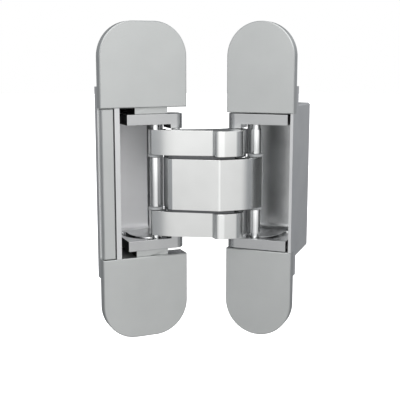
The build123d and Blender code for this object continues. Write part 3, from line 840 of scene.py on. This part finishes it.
@dataclass
class Scissor:
    """The arms that join the halves, with their sliding pins, sleeves, washers and thin plates.

    Corners are given across and back from the crossing pin, in the arms' own axes.

    Attributes:
        finishes: The materials.
        sleeve_ease: The round on the sleeves' rims in millimetres.
        washer_ease: The round on the washers' rims in millimetres.
        arm_ease: The bevel on the arms' edges in millimetres.
        heel: Where an arm's heel, which gets painted shade, begins, across and back from the crossing pin, in
            millimetres.
        level_face: A face lies level where its normal's z, up or down, is at least this.
        liner_hole: The radius of the wearing plates' bore in millimetres.
        liner_corners: The wearing plates' corners in millimetres.
        shade_sheet_hole: The radius of the bore of the dark sheets of painted shade, in millimetres.
        shade_sheet_corners: The dark sheets' corners in millimetres.
    """

    finishes: Finishes
    sleeve_ease: float = 0.18
    washer_ease: float = 0.2
    arm_ease: float = 0.16
    heel: tuple[float, float] = (12.9, -0.9)
    level_face: float = 0.5
    liner_hole: float = 1.6
    liner_corners: tuple[tuple[float, float], ...] = (
        (-12.7, -1.0), (-11.4, -1.6), (4.4, -4.9), (9.8, -3.2), (10.6, 1.6), (9.6, 3.9), (1.0, 4.1),
        (-6.5, 5.0), (-8.7, 5.9), (-10.5, 5.3), (-12.5, 6.0), (-14.2, 5.3), (-14.7, 4.2), (-13.1, 1.1))
    shade_sheet_hole: float = 0.4
    shade_sheet_corners: tuple[tuple[float, float], ...] = (
        (11.2, -1.6), (12.4, -1.5), (12.5, 1.4), (14.2, 4.5), (14.2, 4.9), (12.7, 6.9), (11.7, 5.6),
        (10.7, 4.6), (11.2, 2.4))

    def plan(self) -> tuple[np.ndarray, np.ndarray]:
        """Where the crossing pin stands, and the arms' own axes.

        Across runs from the frame's pivot pin to the door's, and back is square to it.

        Returns:
            The crossing pin's middle in metres, and across, back and up as rows.
        """
        middles = {}
        for name in ("crossing_pin", "frame_pivot_pin", "door_pivot_pin"):
            low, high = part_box(name)
            middles[name] = np.array((low + high) / 2)
        across = middles["door_pivot_pin"] - middles["frame_pivot_pin"]
        across /= np.linalg.norm(across)
        up = np.array((0.0, 0.0, 1.0))
        return middles["crossing_pin"], np.stack([across, np.cross(up, across), up])

    def plate(self, name: str, corners: np.ndarray, centre: np.ndarray, hole: float,
              end: str) -> bpy.types.Object:
        """A thin dark plate in the slit between the arms, dark as painted shade for the slit.

        Args:
            name: The plate's name.
            corners: Its corners in metres, across and back from the crossing pin.
            centre: The middle of its bore, likewise.
            hole: The radius of its bore in metres.
            end: "upper" or "lower".

        Returns:
            The finished plate, on no body yet.
        """
        low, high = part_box(f"arm_liner_{end}")
        middle, axes = self.plan()
        points, faces = plate_surface(corners - centre, hole, low.z, high.z)
        points[:, :2] += centre
        piece = surface_piece(name, middle * (1, 1, 0) + points @ axes, faces)
        piece.data.shade_flat()
        piece.data.materials.append(self.finishes.of(Metal.DARK_ACETAL_AND_SHADE))
        return piece

    def liner(self, end: str) -> bpy.types.Object:
        """The wearing plate at one end, which fills the slit between the arms round the pivot: a real spacer,
        painted dark as the slit's shade.

        Args:
            end: "upper" or "lower".

        Returns:
            The finished plate.
        """
        node = f"arm_liner_{end}"
        corners = np.array(self.liner_corners) * MM
        piece = self.plate(f"{node}_plate", corners, np.zeros(2), self.liner_hole * MM, end)
        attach(piece, body_of(node))
        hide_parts(node)
        return piece

    def shade_sheet(self, end: str) -> bpy.types.Object:
        """A thin dark sheet of painted shade that closes the slit beyond the wearing plate's reach, on the door's
        side.

        Args:
            end: "upper" or "lower".

        Returns:
            The finished plate, which rides on the outer arms.
        """
        corners = np.array(self.shade_sheet_corners) * MM
        piece = self.plate(f"arm_shade_sheet_{end}", corners, corners.mean(0), self.shade_sheet_hole * MM, end)
        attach(piece, body_of("crossing_pin"))
        return piece

    def arm(self, name: str, side: int) -> bpy.types.Object:
        """An arm with eased edges, polished, with painted shade on the upright faces of its heel.

        Args:
            name: The arm's node.
            side: The side of the crossing pin that its heel is on: -1 for the frame's and 1 for the door's.

        Returns:
            The finished arm.
        """
        middle, axes = self.plan()

        def finish_of(face: bpy.types.MeshPolygon) -> int:
            """1 for an upright face of the heel, which gets painted shade, and 0 for the others."""
            across, back, _ = axes @ (np.array(face.center) - middle) / MM
            upright = abs(face.normal.z) < self.level_face
            return int(side * across > self.heel[0] and back > self.heel[1] and upright)

        piece = softened(name, self.arm_ease)
        self.finishes.dress_faces(piece, (Metal.POLISHED_NICKEL, Metal.PAINTED_SHADE_NICKEL), finish_of)
        return piece

    def build(self) -> list[bpy.types.Object]:
        """Makes the pins, sleeves, washers, thin plates and arms.

        Returns:
            The pieces made.
        """
        pieces = [Pin(name, Metal.GROUND_STEEL, "pin").build(self.finishes)
                  for name in ("crossing_pin", "door_slide_pin", "frame_slide_pin")]
        pieces += [Ring(name, Metal.GROUND_STEEL, "sleeve", self.sleeve_ease).build(self.finishes)
                   for name in ("frame_sleeve", "door_sleeve_upper", "door_sleeve_lower")]
        pieces += [Ring(f"{side}_washer_{end}", Metal.ACETAL, "washer", self.washer_ease).build(self.finishes)
                   for side in ("frame", "door") for end in ENDS]
        pieces += [self.liner(end) for end in ENDS]
        pieces += [self.shade_sheet(end) for end in ENDS]
        pieces += [self.arm(name, side)
                   for name, side in (("middle_arm", -1), ("outer_arm_upper", 1), ("outer_arm_lower", 1))]
        return pieces


@dataclass
class DoorHalf:
    """The half let into the door leaf: its housing, covers, carriage and depth screws.

    Attributes:
        finishes: The materials.
        carriage_ease: The bevel on the carriage's edges in millimetres.
    """

    finishes: Finishes
    carriage_ease: float = 0.2

    def build(self) -> list[bpy.types.Object]:
        """Makes the pivot pin, the two depth screws and the carriage, and dresses the solids.

        Returns:
            The pieces made.
        """
        pieces = [Pin("door_pivot_pin", Metal.GROUND_STEEL, "pin").build(self.finishes)]
        inward = next(Vector(joint["axis"]) for joint in frame["joints"] if joint["name"] == "depth_adjust")
        pieces += [Screw(f"depth_screw_{end}", Metal.ZINC_PLATE, "screw", inward=inward).build(self.finishes)
                   for end in ENDS]
        carriage = softened("door_carriage", self.carriage_ease)
        carriage.data.materials.append(self.finishes.of(Metal.TUMBLED_ZINC))
        pieces.append(carriage)
        self.dress()
        return pieces

    def dress(self) -> None:
        """Gives the housing and the covers their finishes."""
        self.finishes.dress_node("door_housing", Metal.PLATED_CASTING)
        for end in ENDS:
            self.finishes.dress_node(f"door_cover_{end}", Metal.SATIN_NICKEL)


# ---- the studio ----
@dataclass(frozen=True)
class Lamp:
    """A soft square lamp that looks at the hinge.

    Attributes:
        name: The lamp's name.
        place: Where it hangs, in metres.
        power: Its power in watts.
        size: The length of its side in metres.
    """

    name: str
    place: tuple[float, float, float]
    power: float
    size: float = 0.5

    def hang(self) -> None:
        """Hangs the lamp, out of the camera's sight."""
        light = bpy.data.lights.new(self.name, "AREA")
        light.shape = "SQUARE"
        light.size = self.size
        light.energy = self.power
        lamp = bpy.data.objects.new(self.name, light)
        lamp.location = self.place
        lamp.rotation_euler = (-Vector(self.place)).to_track_quat("-Z", "Y").to_euler()
        lamp.visible_camera = False
        bpy.context.scene.collection.objects.link(lamp)


@dataclass
class Studio:
    """A plain pale room: a floor, a soft sky of light and dark, two lamps and the camera.

    A share of the sky's light has two pairs: a span of the cosine from the front, or of the
    direction's height, and the light's shares at the ends of that span.

    Attributes:
        floor_drop: How far the floor lies under the hinge in millimetres.
        floor_radius: The floor's radius in metres.
        floor_sides: How many sides the round floor has.
        camera_place: Where the camera stands in millimetres.
        camera_heading: The level direction that it looks in.
        camera_dip: How many degrees it looks down.
        lens: Its focal length in millimetres.
        sensor: Its sensor's width in millimetres.
        nearest: How near to the camera things still show, in metres.
        front: The level direction that the bright side of the room lies in.
        front_span: The cosines from the front between which the wall turns from grey to white.
        ahead: The share straight ahead.
        behind: The share on the wall behind.
        low: The share towards the floor.
        high: The share towards the ceiling.
        lamps: The lamps.
    """

    floor_drop: float = 100.0
    floor_radius: float = 4.0
    floor_sides: int = 64
    camera_place: tuple[float, float, float] = (-105.9, -264.35, 44.19)
    camera_heading: tuple[float, float] = (0.387, 0.922)
    camera_dip: float = 10.167
    lens: float = 72.93
    sensor: float = 36.0
    nearest: float = 0.01
    front: tuple[float, float] = (-0.292, -0.956)
    front_span: tuple[float, float] = (0.45, 0.86)
    ahead: tuple[tuple[float, float], ...] = ((0.9, 1.0), (1.0, 1.3))
    behind: tuple[tuple[float, float], ...] = ((-1.0, -0.6), (0.3, 1.0))
    low: tuple[tuple[float, float], ...] = ((-0.19, -0.06), (0.7, 1.0))
    high: tuple[tuple[float, float], ...] = ((-0.06, 0.5), (1.0, 1.6))
    lamps: tuple[Lamp, ...] = (Lamp("key_lamp", (-0.45, -0.75, 0.75), 3.0),
                               Lamp("fill_lamp", (0.7, -0.35, 0.5), 1.2))

    def floor(self) -> None:
        """A round floor: one ring of points at angle a, at (r cos a, r sin a)."""
        angle = np.linspace(0, 2 * math.pi, self.floor_sides, endpoint=False)
        height = CAD_BOX[0][2] - self.floor_drop * MM
        rim = np.stack([np.cos(angle), np.sin(angle)], -1) * self.floor_radius
        points = np.column_stack([rim, np.full(self.floor_sides, height)])
        mesh = bpy.data.meshes.new("floor")
        mesh.from_pydata(points.tolist(), [], [list(range(self.floor_sides))])
        floor = bpy.data.objects.new("floor", mesh)
        bpy.context.scene.collection.objects.link(floor)
        mesh.materials.append(self.floor_material())

    def floor_material(self) -> bpy.types.Material:
        """White paper: most of its white is its own, and the rest takes the lamps' light and shadow.

        Returns:
            The new material.
        """
        material = bpy.data.materials.new("white_paper")
        material.use_nodes = True
        tree = material.node_tree
        tree.nodes.clear()
        ray = add(tree, "ShaderNodeLightPath")
        place = add(tree, "ShaderNodeTexCoord").outputs["Object"]
        fibre = add(tree, "ShaderNodeTexNoise", {"Vector": place, "Scale": 1 / (2 * MM), "Detail": 2.0})
        tone = add(tree, "ShaderNodeMix", {
            0: fibre.outputs["Fac"], 6: linear("#F4F4F3"), 7: linear("#F1F1F0")}, data_type="RGBA")
        paper = add(tree, "ShaderNodeBsdfDiffuse", {"Color": tone.outputs[2]})
        glow = add(tree, "ShaderNodeEmission", {"Color": linear("#FFFFFF"), "Strength": 0.8})
        seen = add(tree, "ShaderNodeAddShader", {0: glow.outputs[0], 1: paper.outputs[0]})
        surface = add(tree, "ShaderNodeMixShader", {
            0: ray.outputs["Is Camera Ray"], 1: paper.outputs[0], 2: seen.outputs[0]})
        clear = add(tree, "ShaderNodeBsdfTransparent")
        open_below = add(tree, "ShaderNodeMixShader", {
            0: ray.outputs["Is Glossy Ray"], 1: surface.outputs[0], 2: clear.outputs[0]})
        add(tree, "ShaderNodeOutputMaterial", {"Surface": open_below.outputs[0]})
        return material

    def room(self) -> None:
        """The light of the room, by direction.

        The wall turns from grey to white with the cosine of the level angle from the front.
        That is times a share that is highest straight ahead, one that dims the wall behind,
        and two for the height: the floor is dimmer than the walls, and the ceiling is
        brighter. The camera sees it all white.
        """
        world = bpy.data.worlds.new("room")
        world.use_nodes = True
        bpy.context.scene.world = world
        tree = world.node_tree
        tree.nodes.clear()
        way = add(tree, "ShaderNodeTexCoord").outputs["Generated"]
        upward = add(tree, "ShaderNodeSeparateXYZ", {0: way}).outputs["Z"]
        level = add(tree, "ShaderNodeVectorMath", {0: way, 1: (1, 1, 0)}, operation="MULTIPLY")
        level = add(tree, "ShaderNodeVectorMath", {0: level.outputs[0]}, operation="NORMALIZE")
        facing = add(tree, "ShaderNodeVectorMath", {
            0: level.outputs[0], 1: (*self.front, 0)}, operation="DOT_PRODUCT").outputs["Value"]
        wide = add(tree, "ShaderNodeMapRange", {
            "Value": facing, "From Min": self.front_span[0], "From Max": self.front_span[1]},
            interpolation_type="SMOOTHSTEP")
        tone = add(tree, "ShaderNodeMix", {
            0: wide.outputs[0], 6: linear("#ABADB0"), 7: linear("#FFFFFF")}, data_type="RGBA")
        lit = tone.outputs[2]
        terms = ((facing, self.ahead), (facing, self.behind), (upward, self.low), (upward, self.high))
        for value, (span, shares) in terms:
            share = add(tree, "ShaderNodeMapRange", {
                "Value": value, "From Min": span[0], "From Max": span[1], "To Min": shares[0],
                "To Max": shares[1]}, interpolation_type="SMOOTHSTEP")
            lit = add(tree, "ShaderNodeVectorMath", {
                0: lit, "Scale": share.outputs[0]}, operation="SCALE").outputs[0]
        ray = add(tree, "ShaderNodeLightPath")
        seen = add(tree, "ShaderNodeMix", {
            0: ray.outputs["Is Camera Ray"], 6: lit, 7: linear("#FFFFFF")}, data_type="RGBA")
        sky = add(tree, "ShaderNodeBackground", {"Color": seen.outputs[2], "Strength": 1.0})
        add(tree, "ShaderNodeOutputWorld", {"Surface": sky.outputs[0]})

    def camera(self) -> None:
        """Stands the camera in front of the hinge, looking a little down."""
        lens = bpy.data.cameras.new("camera")
        lens.lens = self.lens
        lens.sensor_width = self.sensor
        lens.clip_start = self.nearest
        camera = bpy.data.objects.new("camera", lens)
        camera.location = Vector(self.camera_place) * MM
        dip = math.radians(self.camera_dip)
        heading = Vector((*self.camera_heading, 0)).normalized() * math.cos(dip)
        camera.rotation_euler = (heading - Vector((0, 0, math.sin(dip)))).to_track_quat("-Z", "Y").to_euler()
        bpy.context.scene.collection.objects.link(camera)
        bpy.context.scene.camera = camera

    def build(self) -> None:
        """Sets up the floor, the light and the camera."""
        self.floor()
        self.room()
        for lamp in self.lamps:
            lamp.hang()
        self.camera()
        bpy.context.scene.view_settings.view_transform = "Standard"
        log.info("set up the studio")


def main() -> None:
    """Builds and dresses each sub-assembly in order, then the studio."""
    logging.basicConfig(level=logging.INFO, format="%(name)s: %(message)s")
    finishes = Finishes()
    for part in (FrameHalf(finishes), Scissor(finishes), DoorHalf(finishes)):
        for piece in part.build():
            log.info("%s: made %s, %d faces", type(part).__name__, piece.name, len(piece.data.polygons))
    Studio().build()


if __name__ == "__main__":
    main()
